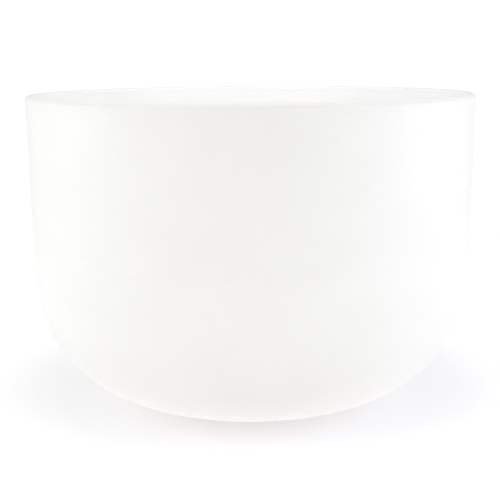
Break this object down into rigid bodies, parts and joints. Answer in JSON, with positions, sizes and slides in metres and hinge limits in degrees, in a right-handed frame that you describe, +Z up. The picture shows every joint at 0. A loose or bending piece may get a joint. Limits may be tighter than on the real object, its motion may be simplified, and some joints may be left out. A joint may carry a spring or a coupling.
{
  "type": "singing bowl",
  "caption": "Frosted quartz singing bowl: a deep cup with straight walls, a round-cornered base and a rounded rim that rings when struck, standing on a rubber ring.",
  "frame": {"origin": "centre of the support ring on the floor, under the middle of the bowl", "axes": "+Z up along the bowl's axis, towards the mouth; the bowl is round, so +X and +Y are free"},
  "size_m": [0.305, 0.305, 0.2195],
  "materials": {
    "frosted_quartz": "matte",
    "clear_quartz": "gloss",
    "polished_quartz": "satin",
    "silicone": "matte"
  },
  "bodies": {
    "ring": {"support_ring": "silicone"},
    "bowl": {"frosted_shell": "frosted_quartz", "clear_lining": "clear_quartz", "polished_lip": "polished_quartz"}
  },
  "joints": [
    {"name": "bowl_lift", "type": "slide", "parent": "ring", "child": "bowl", "axis": [0, 0, 1], "range_m": [0, 0.1]}
  ]
}
